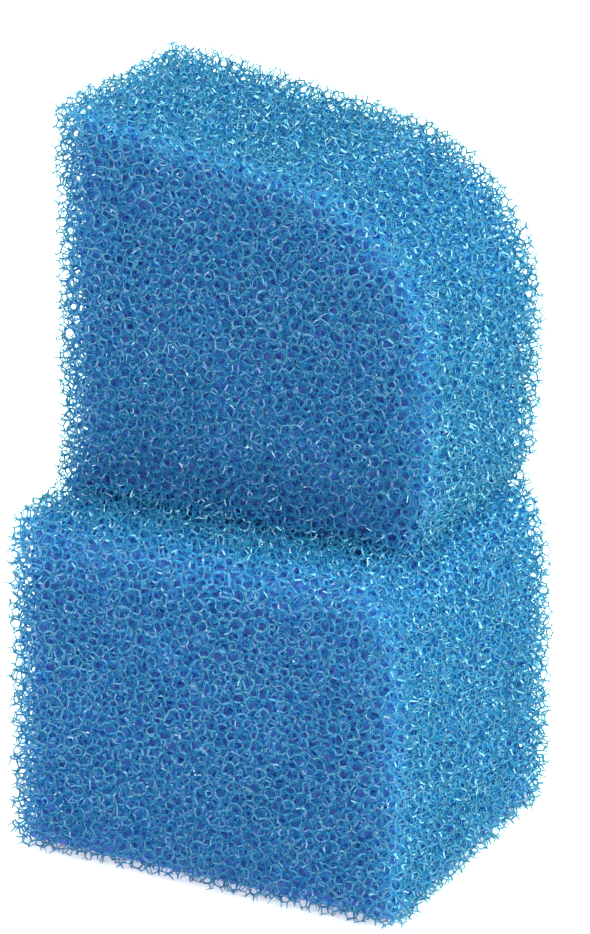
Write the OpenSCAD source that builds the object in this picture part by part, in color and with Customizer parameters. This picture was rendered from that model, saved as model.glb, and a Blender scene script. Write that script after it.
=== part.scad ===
// Stepped filter sponge: two blocks of coarse open-cell foam, one on the other.
// The origin is the centre of the footprint, on the surface that the sponge stands on.
// +X is the sponge's right, -Y its front and +Z up.

/* [Base block] */
// Width of the base block, side to side
base_width = 60; // [40:1:90]
// Depth of the base block, front to back
base_depth = 50; // [40:1:80]
// Height of the base block, up to the ledge
base_height = 50; // [30:1:80]

/* [Upper block] */
// Height of the upper block at its tall left side
upper_height = 55; // [45:1:80]
// How far the front of the upper block is set back, which leaves the ledge
front_step = 15; // [5:1:25]
// How far the right side of the upper block is set in
side_step = 3; // [1:0.5:8]
// Slope of the top, down to the right, in degrees
top_slope = 8.5; // [0:0.5:12]
// Radius of the rounded right shoulder
shoulder_radius = 26; // [10:1:30]

/* [Colour] */
// Colour of the foam
foam_colour = "#2b86c0"; // ["#2b86c0":Blue, "#303438":Charcoal, "#e9e9e4":White]

/* [Hidden] */
$fn = 96;

left_side = -base_width / 2;
front_side = -base_depth / 2;
upper_width = base_width - side_step;
upper_depth = base_depth - front_step;

// The shoulder is tangent to the sloping top and to the upright right side
shoulder_centre_x = upper_width - shoulder_radius;
shoulder_centre_z = top_at(shoulder_centre_x) - shoulder_radius / cos(top_slope);

// Height of the top's straight slope above the ledge, at a distance from the left side
function top_at(x) = upper_height - x * tan(top_slope);

module base_block() {
  color(foam_colour)
    translate([left_side, front_side, 0])
      cube([base_width, base_depth, base_height]);
}

// What the rounded shoulder takes off the upper block's top right corner
module shoulder_waste() {
  translate([shoulder_centre_x, shoulder_centre_z])
    difference() {
      polygon([
        [0, 0],
        [shoulder_radius, 0],
        [shoulder_radius, top_at(upper_width) - shoulder_centre_z],
        shoulder_radius * [sin(top_slope), cos(top_slope)]
      ]);
      circle(r = shoulder_radius);
    }
}

// Front outline of the upper block, from its lower left corner
module upper_outline() {
  difference() {
    polygon([[0, 0], [upper_width, 0], [upper_width, top_at(upper_width)], [0, upper_height]]);
    shoulder_waste();
  }
}

module upper_block() {
  color(foam_colour)
    translate([left_side, front_side + base_depth, base_height])
      rotate([90, 0, 0])
        linear_extrude(upper_depth)
          upper_outline();
}

base_block();
upper_block();
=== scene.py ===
"""Stepped filter sponge: two blocks of coarse blue open-cell foam, modelled strut by strut."""
import itertools
import math
import bmesh
import bpy
import numpy as np
from mathutils import Euler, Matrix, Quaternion, Vector


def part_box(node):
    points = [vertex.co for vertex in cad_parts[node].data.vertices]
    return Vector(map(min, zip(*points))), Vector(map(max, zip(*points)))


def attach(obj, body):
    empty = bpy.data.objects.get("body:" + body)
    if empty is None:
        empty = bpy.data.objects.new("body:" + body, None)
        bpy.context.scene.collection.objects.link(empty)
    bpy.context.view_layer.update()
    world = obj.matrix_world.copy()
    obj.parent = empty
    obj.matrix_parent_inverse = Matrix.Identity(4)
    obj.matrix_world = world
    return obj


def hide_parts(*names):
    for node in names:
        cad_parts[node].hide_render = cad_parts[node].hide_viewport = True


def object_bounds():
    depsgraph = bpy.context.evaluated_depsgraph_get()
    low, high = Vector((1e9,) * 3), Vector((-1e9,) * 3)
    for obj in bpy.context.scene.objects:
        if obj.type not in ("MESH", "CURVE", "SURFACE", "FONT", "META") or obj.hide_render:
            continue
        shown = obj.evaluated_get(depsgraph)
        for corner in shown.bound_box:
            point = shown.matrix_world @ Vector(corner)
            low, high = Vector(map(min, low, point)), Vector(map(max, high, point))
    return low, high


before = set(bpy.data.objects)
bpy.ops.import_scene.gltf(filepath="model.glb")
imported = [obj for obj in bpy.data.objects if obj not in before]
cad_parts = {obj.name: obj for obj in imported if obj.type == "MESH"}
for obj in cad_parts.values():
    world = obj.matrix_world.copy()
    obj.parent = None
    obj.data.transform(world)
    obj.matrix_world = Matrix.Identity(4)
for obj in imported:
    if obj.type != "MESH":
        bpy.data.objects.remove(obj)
cad_low, cad_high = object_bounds()

MM = 0.001

# ---------------------------------------------------------------- sizes, in millimetres
# The two blocks: the top's slope and shoulder, as in the CAD model
TOP_SLOPE = math.radians(8.5)
SHOULDER_RADIUS = 26.0

# Edges: soft all round, cut off at 45 degrees along the base's top right and front edges
EDGE_ROUNDING = 1.2
BASE_EDGE_CUT = 6.0
LEDGE_EDGE_CUT = 2.5

# The waist at the seam on the right side, as how far each block is drawn in and over what height
SEAM_PINCH = {"base": (2.0, 11.0), "upper": (2.0, 4.5)}
SEAM_DROP = 1.5
SEAM_GAP = 0.5
# The upper block's foot spreads forward onto the ledge, as how far and over what height
FOOT_FLARE = (1.8, 2.5)

# The cells, and how deep the open foam goes before the closed deep foam takes over
CELLS_IN_TILE = 1000
CELL_VOLUME = 5.0
TILE_SIDE = (CELLS_IN_TILE * CELL_VOLUME) ** (1 / 3)
OPEN_DEPTH = 3.4

# The cut faces: how far hubs stand proud on average, how unevenly, and how far a cut strut reaches
STAND_PROUD = {"base": 0.5, "upper": 0.8}
RAGGEDNESS = 0.36
RAGGED_LIMIT = 0.9
ROOT_DEPTH = 1.0
STUB_REACH = (0.85, 0.5)
STUB_SHARE = (0.3, 1.1)
STUB_BEND = 0.05
STUB_RADIUS = 0.62

# The struts' thickness, which grows with depth, so that a few layers of cells close the view
THICKENING_DEPTHS = (-0.7, 0.1, 0.9, 2.0)
HUB_RADII = (0.11, 0.148, 0.195, 0.235)
HUB_VARIATION = (0.8, 1.25)

# The deep foam, as its depth below the faces, and how far it spreads at its foot and over what height
CORE_DEPTH = 2.8
CORE_DEPTH_BEHIND = 2.1
CORE_DEPTH_BELOW = 0.5
CORE_BEVEL = 1.0
CORE_FOOT = {"base": (1.4, 3.0), "upper": (2.6, 3.2)}

# Each block's open foam is made in this many level layers, which keeps every mesh small
BASE_LAYERS = 6
UPPER_LAYERS = 5

# ---------------------------------------------------------------- colours
# The struts, from the cut surface to the depth where the open foam ends, with their places between; their
# lighter, more violet blue with depth is painted light, for the light that real foam lets through
STRUT_SURFACE = (0.018, 0.178, 0.325, 1)
STRUT_MIDDLE = (0.036, 0.3, 0.65, 1)
STRUT_DEEP_PAINTED_LIGHT = (0.1, 0.335, 0.83, 1)
STRUT_MIDDLE_PLACE = 0.35
STRUT_TONE = (0.82, 1.12)
STRUT_ROUGHNESS = (0.16, 0.3)
STRUT_SPECULAR = 0.9

# The deep foam's cell walls and hollows, and how far from a wall each colour lies, in cells; the hollows'
# darker blue is painted shade
WALL_BLUE = (0.125, 0.275, 0.74, 1)
HOLLOW_PAINTED_SHADE_BLUE = (0.095, 0.2, 0.67, 1)
WALL_TO_HOLLOW = (0.02, 0.35)

# The UV map that holds each vertex's place on the struts' colours, and the part of it that is used
SHADE_UV = "OFBake"
SHADE_ACROSS = (0.1, 0.85)
SHADE_UP = (0.04, 0.92)

# ---------------------------------------------------------------- the studio, in metres and watts
# The camera looks at a point in the sponge from the front right and a little above
CAMERA_AZIMUTH = math.radians(26.47)
CAMERA_ELEVATION = math.radians(20.94)
CAMERA_ROLL = math.radians(0.46)
CAMERA_DISTANCE = 0.6136
CAMERA_TARGET = (0.0015, 0, 0.0545)
CAMERA_LENS = 169.6

WORLD_STRENGTH = 0.33
FLOOR_WHITE = (0.8, 0.8, 0.8, 1)
FLOOR_GLOW = 0.42
LAMP_DISTANCE = 0.7
COOL_WHITE = (0.56, 1.0, 0.83)
ROSY_WHITE = (1.0, 0.8, 1.0)
SPARKLE_TURNS = (-75, -50, -25, 0, 30)
SPARKLE_HEIGHTS = (0.1, 0.75)
SPARKLE_SIZE = 0.02
SPARKLE_POWER = 0.26


def box_mm(node):
    """Lowest and highest corner of a CAD node, in millimetres."""
    low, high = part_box(node)
    return np.array(low) / MM, np.array(high) / MM


BASE_LOW, BASE_HIGH = box_mm("base_block")
UPPER_LOW, UPPER_HIGH = box_mm("upper_block")


# ---------------------------------------------------------------- the outer shape
def rounded(gaps, radius):
    """Signed distance to a solid with its faces at these distances and its edges rounded."""
    past = np.linalg.norm(np.clip(gaps + radius, 0, None), axis=1)
    return np.where(past > 0, past - radius, gaps.max(axis=1))


def seam_pinch(points, block):
    """How far a block's right side is drawn in near the seam between the blocks."""
    depth, reach = SEAM_PINCH[block]
    return depth * np.exp(-(((points[:, 2] - BASE_HIGH[2] + SEAM_DROP) / reach) ** 2))


def base_distance(points):
    """Signed distance from points to the base block, negative inside."""
    gaps = np.concatenate([BASE_LOW - points, points - BASE_HIGH], axis=1)
    gaps[:, 3] += seam_pinch(points, "base")
    gaps[:, 2] += STAND_PROUD["base"]
    below = points[:, 2] - BASE_HIGH[2]
    right_cut = (points[:, 0] - BASE_HIGH[0] + below + BASE_EDGE_CUT) / math.sqrt(2)
    front_cut = (BASE_LOW[1] - points[:, 1] + below + LEDGE_EDGE_CUT) / math.sqrt(2)
    return rounded(np.column_stack([gaps, right_cut, front_cut]), EDGE_ROUNDING)


def shoulder_centre():
    """Centre of the shoulder's arc, which is tangent to the sloping top and the upright right side."""
    x = UPPER_HIGH[0] - SHOULDER_RADIUS
    top = UPPER_HIGH[2] - (x - UPPER_LOW[0]) * math.tan(TOP_SLOPE)
    return x, top - SHOULDER_RADIUS / math.cos(TOP_SLOPE)


def crown_gap(points):
    """Signed distance to the upper block's top, shoulder and right side taken as one face."""
    top_normal = np.array([math.sin(TOP_SLOPE), 0, math.cos(TOP_SLOPE)])
    top_left = np.array([UPPER_LOW[0], 0, UPPER_HIGH[2]])
    top_gap = (points - top_left) @ top_normal
    side_gap = points[:, 0] - UPPER_HIGH[0]
    centre_x, centre_z = shoulder_centre()
    right = points[:, 0] - centre_x
    up = points[:, 2] - centre_z
    on_shoulder = (right * math.cos(TOP_SLOPE) > up * math.sin(TOP_SLOPE)) & (up > 0)
    return np.where(on_shoulder, np.hypot(right, up) - SHOULDER_RADIUS, np.maximum(top_gap, side_gap))


def upper_distance(points, foot):
    """Signed distance from points to the upper block, carried down to a foot at this height."""
    x, y, z = points.T
    crown = crown_gap(points) + seam_pinch(points, "upper")
    flare, flare_height = FOOT_FLARE
    front = UPPER_LOW[1] - y - flare * np.exp(-(((z - BASE_HIGH[2]) / flare_height) ** 2))
    gaps = [UPPER_LOW[0] - x, front, y - UPPER_HIGH[1], crown, foot - z]
    return rounded(np.stack(gaps, axis=1), EDGE_ROUNDING)


def depth_in_sponge(points):
    """Depth of points below the outer surface of the two blocks together."""
    column = upper_distance(points, BASE_LOW[2])
    return -np.minimum(base_distance(points), column)


# ---------------------------------------------------------------- the cells
def spread_centres(rng, steps=40, reach=1.06, push=0.32):
    """Cell centres in a repeating cube, pushed apart until they are even but in no order."""
    spacing = CELL_VOLUME ** (1 / 3)
    centres = rng.random((CELLS_IN_TILE, 3)) * TILE_SIDE
    for _ in range(steps):
        gap = centres[:, None] - centres[None]
        gap -= TILE_SIDE * np.round(gap / TILE_SIDE)
        apart = np.sqrt((gap ** 2).sum(axis=2)) + 1e-9
        force = np.clip(reach * spacing - apart, 0, None) / apart
        np.fill_diagonal(force, 0)
        centres = (centres + push * (gap * force[..., None]).sum(axis=1)) % TILE_SIDE
    return centres


def find_hubs(centres, neighbours=36):
    """Points where four cells meet: their places, their four cells and those cells' shifts."""
    triples = np.array(list(itertools.combinations(range(neighbours), 3)))
    hubs, cells, shifts = [], [], []
    for cell, centre in enumerate(centres):
        gap = centres - centre
        wrap = -np.round(gap / TILE_SIDE).astype(int)
        gap = gap + wrap * TILE_SIDE
        near = np.argsort((gap ** 2).sum(axis=1))[1:neighbours + 1]
        gap, wrap = gap[near], wrap[near]
        use = triples[(near[triples] > cell).all(axis=1)]
        a, b, c = gap[use[:, 0]], gap[use[:, 1]], gap[use[:, 2]]
        bc, ca, ab = np.cross(b, c), np.cross(c, a), np.cross(a, b)
        volume = (a * bc).sum(axis=1)
        squares = [(v ** 2).sum(axis=1)[:, None] for v in (a, b, c)]
        point = (squares[0] * bc + squares[1] * ca + squares[2] * ab) / (2 * volume[:, None] + 1e-30)
        clear = (gap ** 2).sum(axis=1)[None] - 2 * point @ gap.T
        empty = (clear > -1e-7).all(axis=1) & (np.abs(volume) > 1e-9)
        for chosen, place in zip(use[empty], point[empty]):
            hubs.append(centre + place)
            cells.append([cell, *near[chosen]])
            shifts.append([[0, 0, 0], *wrap[chosen]])
    return np.array(hubs), np.array(cells), np.array(shifts)


def join_hubs(cells, shifts):
    """For each hub's four struts: the hub at the far end, its slot there, its shift, and the ring.

    Strut k is the one that doesn't touch the hub's cell k. Its ring lists the other three cells'
    slots in an order that is the same at both ends."""
    count = len(cells)
    keys, slots, bases = [], [], []
    for k in range(4):
        others = np.array([j for j in range(4) if j != k])
        order = np.argsort(cells[:, others], axis=1)
        ring = others[order]
        rows = np.arange(count)[:, None]
        ids, moves = cells[rows, ring], shifts[rows, ring]
        steps = (moves[:, 1:] - moves[:, :1] + 1).reshape(count, 6)
        key = (ids[:, 0] * CELLS_IN_TILE + ids[:, 1]) * CELLS_IN_TILE + ids[:, 2]
        keys.append(key * 3 ** 6 + steps @ 3 ** np.arange(6))
        slots.append(ring)
        bases.append(moves[:, 0])
    keys = np.concatenate(keys)
    order = np.argsort(keys, kind="stable")
    first, second = order[0::2], order[1::2]
    if (keys[first] != keys[second]).any():
        raise ValueError("a strut has no far end")
    far = np.zeros((count, 4), int)
    far_slot = np.zeros((count, 4), int)
    far_shift = np.zeros((count, 4, 3), int)
    bases = np.concatenate(bases)
    for here, there in ((first, second), (second, first)):
        hub, slot = here % count, here // count
        far[hub, slot] = there % count
        far_slot[hub, slot] = there // count
        far_shift[hub, slot] = bases[here] - bases[there]
    return far, far_slot, far_shift, np.stack(slots, axis=1)


def foam_tile(seed, evening_steps=3, evening=0.4):
    """One repeating cube of foam, as hubs and the struts between them, evened out in length."""
    rng = np.random.default_rng(seed)
    hubs, cells, shifts = find_hubs(spread_centres(rng))
    far, far_slot, far_shift, rings = join_hubs(cells, shifts)
    for _ in range(evening_steps):
        ends = hubs[far] + far_shift * TILE_SIDE
        hubs = hubs + evening * (ends.mean(axis=1) - hubs)
    return {"hubs": hubs, "far": far, "far_slot": far_slot, "far_shift": far_shift, "rings": rings}


# ---------------------------------------------------------------- a block cut from the foam
def fill_block(tile, distance, proud, low, high, turn, rng, spread_steps=12):
    """Hubs of the foam in a block's open outer layer, cut raggedly at its faces, and what each joins.

    Only hubs that struts tie to the foam below the surface are held; loose bits are left out."""
    spin = np.array(Euler(turn).to_matrix())
    middle = (low + high) / 2
    reach = int(np.ceil(np.linalg.norm(high - low) / 2 / TILE_SIDE + 0.6))
    span = np.arange(-reach, reach)
    grid = np.stack(np.meshgrid(span, span, span, indexing="ij"), axis=-1).reshape(-1, 3)
    count, wide = len(tile["hubs"]), len(span)

    places = (tile["hubs"][None] + grid[:, None] * TILE_SIDE).reshape(-1, 3) @ spin.T + middle
    ragged = proud + np.clip(rng.normal(0, RAGGEDNESS, len(places)), -RAGGED_LIMIT, RAGGED_LIMIT)
    gap = distance(places)
    inside = gap < ragged
    inside[inside] = depth_in_sponge(places[inside]) < OPEN_DEPTH
    kept = np.flatnonzero(inside)
    copy, hub = kept // count, kept % count
    far_grid = grid[copy][:, None] + tile["far_shift"][hub] + reach
    far_copy = (far_grid[..., 0] * wide + far_grid[..., 1]) * wide + far_grid[..., 2]
    far = far_copy * count + tile["far"][hub]

    number = np.full(len(places), -1)
    number[kept] = np.arange(len(kept))
    neighbour = number[far]
    held = gap[kept] < -ROOT_DEPTH
    for _ in range(spread_steps):
        held |= (held[neighbour] & (neighbour >= 0)).any(axis=1)
    number = np.full(len(kept), -1)
    number[held] = np.arange(held.sum())
    neighbour = np.where(neighbour >= 0, number[neighbour], -1)[held]
    hub = hub[held]
    return {
        "hubs": places[kept[held]],
        "gap": gap[kept[held]],
        "ends": places[far[held]],
        "end_gap": gap[far[held]],
        "neighbour": neighbour,
        "slot": tile["far_slot"][hub],
        "rings": tile["rings"][hub],
    }


def build_struts(foam, layer, proud, rng):
    """Vertices, faces and each face's layer. Every hub has four corners, and every strut is a
    three-sided bar between the rings of three corners at its ends."""
    hubs = foam["hubs"]
    count = len(hubs)
    run = foam["ends"] - hubs[:, None]
    along = run / np.linalg.norm(run, axis=2, keepdims=True)
    radius = np.interp(depth_in_sponge(hubs), THICKENING_DEPTHS, HUB_RADII)[:, None, None]
    radius = radius * rng.uniform(*HUB_VARIATION, (count, 1, 1))
    corners = (hubs[:, None] - radius * along).reshape(-1, 3)

    near, slot = (index.ravel() for index in np.indices((count, 4)))
    other = foam["neighbour"][near, slot]
    ring = near[:, None] * 4 + foam["rings"][near, slot]
    a, b, c = (corners[ring[:, i]] for i in range(3))
    facing = (np.cross(b - a, c - a) * along[near, slot]).sum(axis=1) > 0
    flip = np.array([0, 2, 1])
    ring = np.where(facing[:, None], ring, ring[:, flip])

    vertices, sides, side_layer, caps, cap_layer = [corners], [], [], [], []

    def add_ring(points):
        made = sum(len(part) for part in vertices)
        vertices.append(points.reshape(-1, 3))
        return made + np.arange(len(points) * 3).reshape(-1, 3)

    def add_sides(start, end, owner):
        for i, j in ((0, 1), (1, 2), (2, 0)):
            sides.append(np.stack([start[:, i], start[:, j], end[:, j], end[:, i]], axis=1))
            side_layer.append(owner)

    def add_caps(end, owner):
        caps.append(end)
        cap_layer.append(owner)

    # Whole struts, each made once, from the end with the lower number
    whole = other > near
    here, there = near[whole], other[whole]
    end = there[:, None] * 4 + foam["rings"][there, foam["slot"][here, slot[whole]]]
    end = np.where(facing[whole][:, None], end, end[:, flip])
    crossing = layer[here] != layer[there]
    add_caps(end[crossing][:, flip], layer[there[crossing]])
    end[crossing] = add_ring(corners[end[crossing]])
    add_caps(end[crossing], layer[here[crossing]])
    add_sides(ring[whole], end, layer[here])

    # Cut struts, which end at the face that cut them or in the deep foam
    cut = other < 0
    here, root = near[cut], ring[cut]
    start_gap, end_gap = foam["gap"][here], foam["end_gap"][here, slot[cut]]
    reach = proud + rng.normal(*STUB_REACH, len(here))
    share = np.clip((reach - start_gap) / np.maximum(end_gap - start_gap, 0.05), *STUB_SHARE)
    tip = hubs[here] + run[here, slot[cut]] * share[:, None]
    bend = rng.normal(0, STUB_BEND, (len(here), 3))
    offset = corners[root] - corners[root].mean(axis=1, keepdims=True)
    tip_ring = add_ring((tip + bend)[:, None] + offset * STUB_RADIUS)
    add_sides(root, tip_ring, layer[here])
    add_caps(tip_ring, layer[here])

    vertices = np.concatenate(vertices)
    vertices[:, 2] = np.maximum(vertices[:, 2], BASE_LOW[2])
    return {
        "vertices": vertices,
        "sides": np.concatenate(sides),
        "side_layer": np.concatenate(side_layer),
        "caps": np.concatenate(caps),
        "cap_layer": np.concatenate(cap_layer),
    }


def shade_map(vertices, rng):
    """Where each vertex reads the foam's colours: across by its depth, which carries the light painted in
    with depth, and up by its own shade.
    """
    start, width = SHADE_ACROSS
    across = start + width * np.clip(depth_in_sponge(vertices) / OPEN_DEPTH, -start, 1)
    foot, height = SHADE_UP
    up = foot + height * rng.random(len(vertices))
    return np.stack([across, up], axis=1)


def link(name, data):
    """A new object with this data, in the scene."""
    piece = bpy.data.objects.new(name, data)
    bpy.context.scene.collection.objects.link(piece)
    return piece


def make_layer(name, struts, uv, wanted, material):
    """One layer of a block's open foam as a closed mesh."""
    sides = struts["sides"][struts["side_layer"] == wanted]
    caps = struts["caps"][struts["cap_layer"] == wanted]
    used, index = np.unique(np.concatenate([sides.ravel(), caps.ravel()]), return_inverse=True)
    faces = index[:sides.size].reshape(-1, 4).tolist() + index[sides.size:].reshape(-1, 3).tolist()
    mesh = bpy.data.meshes.new(name)
    mesh.from_pydata((struts["vertices"][used] * MM).tolist(), [], faces)
    corner = np.empty(len(mesh.loops), int)
    mesh.loops.foreach_get("vertex_index", corner)
    uv_layer = mesh.uv_layers.new(name=SHADE_UV)
    uv_layer.data.foreach_set("uv", uv[used][corner].astype(np.float32).ravel())
    mesh.shade_flat()
    mesh.materials.append(material)
    return link(name, mesh)


# ---------------------------------------------------------------- the deep foam
def deep_foam(name, outline, front, back, material):
    """A closed form from a front outline swept from front to back, with soft edges."""
    form = bmesh.new()
    face = form.faces.new([form.verts.new((x, front, z)) for x, z in outline])
    swept = bmesh.ops.extrude_face_region(form, geom=[face])["geom"]
    moved = [part for part in swept if isinstance(part, bmesh.types.BMVert)]
    bmesh.ops.translate(form, verts=moved, vec=(0, back - front, 0))
    bmesh.ops.recalc_face_normals(form, faces=form.faces)
    sharp = [edge for edge in form.edges if edge.calc_face_angle() > math.radians(30)]
    bmesh.ops.bevel(
        form, geom=sharp, offset=CORE_BEVEL, segments=3, profile=0.5, affect="EDGES", material=-1
    )
    bmesh.ops.scale(form, verts=form.verts, vec=(MM, MM, MM))
    mesh = bpy.data.meshes.new(name)
    form.to_mesh(mesh)
    form.free()
    mesh.shade_smooth()
    mesh.materials.append(material)
    return link(name, mesh)


def drawn_in_side(block, right, low, high, steps=6):
    """Points up the right side of a block's deep foam, drawn in near the seam as the block is."""
    heights = np.linspace(low, high, steps)
    points = np.stack([heights, heights, heights], axis=1)
    return [(x, z) for x, z in zip(right - seam_pinch(points, block), heights)]


def base_core_outline():
    """Front outline of the base block's deep foam, with its top right edge cut off."""
    left, right = BASE_LOW[0] + CORE_DEPTH_BEHIND, BASE_HIGH[0] - CORE_DEPTH
    floor, ledge = BASE_LOW[2] + CORE_DEPTH_BELOW, BASE_HIGH[2] - CORE_DEPTH
    cut = BASE_EDGE_CUT - CORE_DEPTH * (2 - math.sqrt(2))
    side = drawn_in_side("base", right, ledge / 2, ledge - cut)
    return [(left, floor), (right, floor), *side, (right - cut, ledge), (left, ledge)]


def upper_core_outline(arc_points=12, side_height=12):
    """Front outline of the upper block's deep foam, from the base's deep foam up to the shoulder's arc."""
    left, right = UPPER_LOW[0] + CORE_DEPTH_BEHIND, UPPER_HIGH[0] - CORE_DEPTH
    foot = BASE_HIGH[2] - CORE_DEPTH
    centre_x, centre_z = shoulder_centre()
    radius = SHOULDER_RADIUS - CORE_DEPTH
    turns = np.linspace(0, math.pi / 2 - TOP_SLOPE, arc_points)
    arc = [(centre_x + radius * math.cos(t), centre_z + radius * math.sin(t)) for t in turns]
    top_left = arc[-1][1] + (arc[-1][0] - left) * math.tan(TOP_SLOPE)
    side = drawn_in_side("upper", right, foot, foot + side_height)
    return [(left, foot), *side, *arc, (left, top_left)]


def spread_foot(core, block, foot, all_round):
    """Carries a block's deep foam outwards at its foot: at the front, or at all four sides."""
    spread, height = CORE_FOOT[block]
    form = bmesh.new()
    form.from_mesh(core.data)
    near = 1.5 * CORE_BEVEL * MM
    low = [min(vert.co[axis] for vert in form.verts) + near for axis in (0, 1)]
    high = [max(vert.co[axis] for vert in form.verts) - near for axis in (0, 1)]
    whole = form.verts[:] + form.edges[:] + form.faces[:]
    level = Vector((0, 0, (foot + height) * MM))
    bmesh.ops.bisect_plane(form, geom=whole, plane_co=level, plane_no=(0, 0, 1))
    for vert in form.verts:
        step = spread * MM * min(1 - (vert.co.z / MM - foot) / height, 1)
        if step <= 0:
            continue
        if vert.co.y < low[1]:
            vert.co.y -= step
        elif all_round and vert.co.y > high[1]:
            vert.co.y += step
        if all_round and vert.co.x < low[0]:
            vert.co.x -= step
        elif all_round and vert.co.x > high[0]:
            vert.co.x += step
    form.to_mesh(core.data)
    form.free()


# ---------------------------------------------------------------- materials
def foam_material():
    """Glossy dyed polyurethane struts: cyan at the cut surface, deeper blue inside; the lighter blue with
    depth is painted light, standing in for the light that real foam lets through.
    """
    material = bpy.data.materials.new("blue_foam")
    material.use_nodes = True
    nodes, links = material.node_tree.nodes, material.node_tree.links
    shader = nodes["Principled BSDF"]
    shader.inputs["Specular IOR Level"].default_value = STRUT_SPECULAR
    place = nodes.new("ShaderNodeUVMap")
    place.uv_map = SHADE_UV
    split = nodes.new("ShaderNodeSeparateXYZ")
    links.new(place.outputs["UV"], split.inputs[0])
    # The colours along the depth ramp are painted light: deeper struts are painted a lighter blue in place
    # of light passing through the foam.
    ramp = nodes.new("ShaderNodeValToRGB")
    surface, deep = ramp.color_ramp.elements
    surface.color = STRUT_SURFACE
    deep.color = STRUT_DEEP_PAINTED_LIGHT
    ramp.color_ramp.elements.new(STRUT_MIDDLE_PLACE).color = STRUT_MIDDLE
    links.new(split.outputs["X"], ramp.inputs["Fac"])
    tone = nodes.new("ShaderNodeMapRange")
    tone.inputs["To Min"].default_value, tone.inputs["To Max"].default_value = STRUT_TONE
    links.new(split.outputs["Y"], tone.inputs["Value"])
    tint = nodes.new("ShaderNodeHueSaturation")
    links.new(ramp.outputs["Color"], tint.inputs["Color"])
    links.new(tone.outputs["Result"], tint.inputs["Value"])
    links.new(tint.outputs["Color"], shader.inputs["Base Color"])
    gloss = nodes.new("ShaderNodeMapRange")
    gloss.inputs["To Min"].default_value, gloss.inputs["To Max"].default_value = STRUT_ROUGHNESS
    links.new(split.outputs["Y"], gloss.inputs["Value"])
    links.new(gloss.outputs["Result"], shader.inputs["Roughness"])
    return material


def deep_material():
    """The foam too deep to make out: dim blue, with the cell walls just showing as lighter lines and the
    hollows between them painted darker as shade.
    """
    material = bpy.data.materials.new("deep_foam")
    material.use_nodes = True
    nodes, links = material.node_tree.nodes, material.node_tree.links
    shader = nodes["Principled BSDF"]
    shader.inputs["Roughness"].default_value = 0.9
    shader.inputs["Specular IOR Level"].default_value = 0.1
    place = nodes.new("ShaderNodeTexCoord")
    cells = nodes.new("ShaderNodeTexVoronoi")
    cells.feature = "DISTANCE_TO_EDGE"
    cells.inputs["Scale"].default_value = 1 / (CELL_VOLUME ** (1 / 3) * MM)
    links.new(place.outputs["Object"], cells.inputs["Vector"])
    # Painted shade: the hollows between the cell walls are coloured darker than the walls.
    ramp = nodes.new("ShaderNodeValToRGB")
    wall, hollow = ramp.color_ramp.elements
    wall.position, hollow.position = WALL_TO_HOLLOW
    wall.color = WALL_BLUE
    hollow.color = HOLLOW_PAINTED_SHADE_BLUE
    links.new(cells.outputs["Distance"], ramp.inputs["Fac"])
    links.new(ramp.outputs["Color"], shader.inputs["Base Color"])
    bump = nodes.new("ShaderNodeBump")
    bump.inputs["Strength"].default_value = 0.6
    bump.inputs["Distance"].default_value = 0.3 * MM
    bump.invert = True
    links.new(cells.outputs["Distance"], bump.inputs["Height"])
    links.new(bump.outputs["Normal"], shader.inputs["Normal"])
    return material


# ---------------------------------------------------------------- camera, floor and light
def add_camera():
    """A long lens at eye height for a thing on a table."""
    back = Vector((
        math.sin(CAMERA_AZIMUTH) * math.cos(CAMERA_ELEVATION),
        -math.cos(CAMERA_AZIMUTH) * math.cos(CAMERA_ELEVATION),
        math.sin(CAMERA_ELEVATION),
    ))
    lens = bpy.data.cameras.new("camera")
    lens.lens = CAMERA_LENS
    lens.clip_start = 0.01
    camera = link("camera", lens)
    camera.location = Vector(CAMERA_TARGET) + back * CAMERA_DISTANCE
    camera.rotation_mode = "QUATERNION"
    level = (-back).to_track_quat("-Z", "Y")
    camera.rotation_quaternion = level @ Quaternion((0, 0, 1), CAMERA_ROLL)
    bpy.context.scene.camera = camera


def add_floor(reach=6.0):
    """A plain white floor that glows a little, so that the sponge's foot isn't in deep shadow."""
    form = bmesh.new()
    bmesh.ops.create_grid(form, x_segments=1, y_segments=1, size=reach)
    mesh = bpy.data.meshes.new("floor")
    form.to_mesh(mesh)
    form.free()
    paint = bpy.data.materials.new("floor_white")
    paint.use_nodes = True
    shader = paint.node_tree.nodes["Principled BSDF"]
    shader.inputs["Base Color"].default_value = FLOOR_WHITE
    shader.inputs["Roughness"].default_value = 0.8
    shader.inputs["Specular IOR Level"].default_value = 0.1
    shader.inputs["Emission Color"].default_value = (1, 1, 1, 1)
    shader.inputs["Emission Strength"].default_value = FLOOR_GLOW
    mesh.materials.append(paint)
    link("floor", mesh)


def add_light(name, direction, size, power, colour=(1, 1, 1)):
    """A square lamp that shines on the middle of the sponge."""
    lamp = bpy.data.lights.new(name, "AREA")
    lamp.color = colour
    lamp.size = size
    lamp.energy = power
    holder = link(name, lamp)
    middle = (cad_low + cad_high) / 2
    away = Vector(direction).normalized()
    holder.location = middle + away * LAMP_DISTANCE
    holder.rotation_mode = "QUATERNION"
    holder.rotation_quaternion = (-away).to_track_quat("-Z", "Y")


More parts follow.
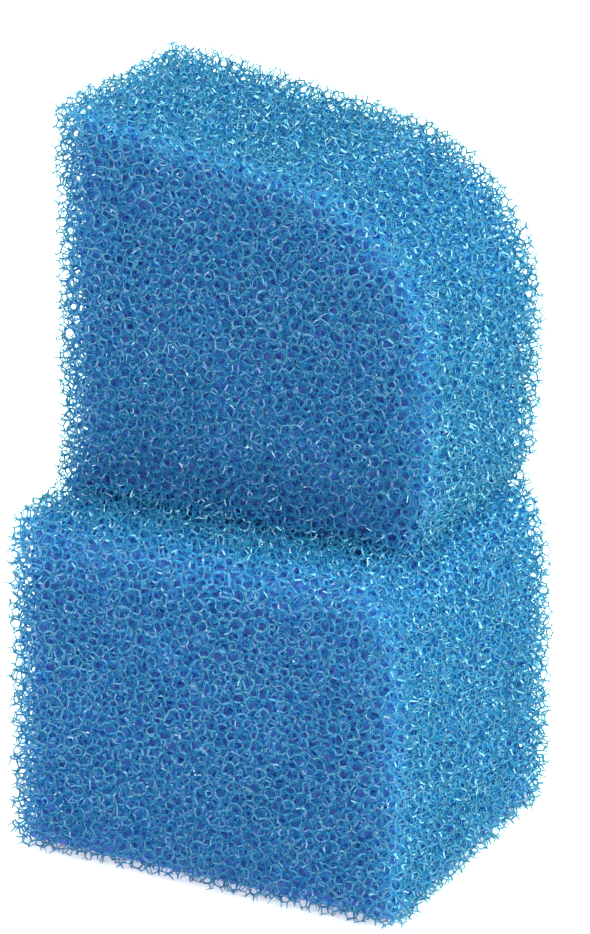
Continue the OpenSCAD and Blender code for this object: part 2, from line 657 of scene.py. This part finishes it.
def add_surroundings():
    """White all round, four broad lamps, and small lamps in front whose glints run along the struts."""
    scene = bpy.context.scene
    scene.view_settings.view_transform = "Standard"
    world = bpy.data.worlds.new("studio")
    world.use_nodes = True
    background = world.node_tree.nodes["Background"]
    background.inputs["Color"].default_value = (1, 1, 1, 1)
    background.inputs["Strength"].default_value = WORLD_STRENGTH
    scene.world = world
    add_light("key", (1.0, 0.1, 1.05), 0.55, 11.0, COOL_WHITE)
    add_light("left", (-1.0, 0.2, 0.3), 0.3, 4.5, COOL_WHITE)
    add_light("front", (-0.1, -1.0, 0.9), 0.35, 1.15, ROSY_WHITE)
    add_light("back", (-0.3, 1.0, 0.9), 0.9, 4.5, COOL_WHITE)
    for turn in SPARKLE_TURNS:
        side, front = math.sin(math.radians(turn)), -math.cos(math.radians(turn))
        for row, height in enumerate(SPARKLE_HEIGHTS):
            name = f"sparkle_row_{row + 1}_at_{turn}"
            add_light(name, (side, front, height), SPARKLE_SIZE, SPARKLE_POWER)


# ---------------------------------------------------------------- the sponge
def finish_piece(piece, node):
    """Ties a piece to the sponge, in place of a block's plain solid."""
    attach(piece, "root")
    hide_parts(node)


def make_block(node, label, distance, turn, seed, layer_count, tile, material):
    """The open foam of one block, in level layers of about as many struts each."""
    low, high = box_mm(node)
    rng = np.random.default_rng(seed)
    proud = STAND_PROUD[label]
    foam = fill_block(tile, distance, proud, low, high, turn, rng)
    heights = foam["hubs"][:, 2]
    cuts = np.quantile(heights, np.arange(1, layer_count) / layer_count)
    struts = build_struts(foam, np.searchsorted(cuts, heights), proud, rng)
    uv = shade_map(struts["vertices"], rng)
    for layer in range(layer_count):
        finish_piece(make_layer(f"{label}_foam_{layer + 1}", struts, uv, layer, material), node)


def upper_open_distance(points):
    """Signed distance to the upper block's open foam, which starts just above the seam."""
    return upper_distance(points, UPPER_LOW[2] + SEAM_GAP)


def make_open_foam():
    """Both blocks' open foam, cut from the same cube of foam turned two ways."""
    foam_cube = foam_tile(seed=7)
    blue = foam_material()
    base_turn, upper_turn = (0.5, 0.3, 0.9), (1.1, 0.7, 0.2)
    make_block("base_block", "base", base_distance, base_turn, 11, BASE_LAYERS, foam_cube, blue)
    make_block("upper_block", "upper", upper_open_distance, upper_turn, 12, UPPER_LAYERS, foam_cube, blue)


def make_deep_foam():
    """Both blocks' deep foam, the upper one standing on the base's."""
    dim_blue = deep_material()
    back = BASE_HIGH[1] - CORE_DEPTH_BEHIND
    base_front, upper_front = BASE_LOW[1] + CORE_DEPTH, UPPER_LOW[1] + CORE_DEPTH
    base_core = deep_foam("base_deep_foam", base_core_outline(), base_front, back, dim_blue)
    upper_core = deep_foam("upper_deep_foam", upper_core_outline(), upper_front, back, dim_blue)
    spread_foot(base_core, "base", BASE_LOW[2] + CORE_DEPTH_BELOW, all_round=True)
    spread_foot(upper_core, "upper", BASE_HIGH[2] - CORE_DEPTH, all_round=False)
    finish_piece(base_core, "base_block")
    finish_piece(upper_core, "upper_block")


make_open_foam()
make_deep_foam()
add_camera()
add_floor()
add_surroundings()
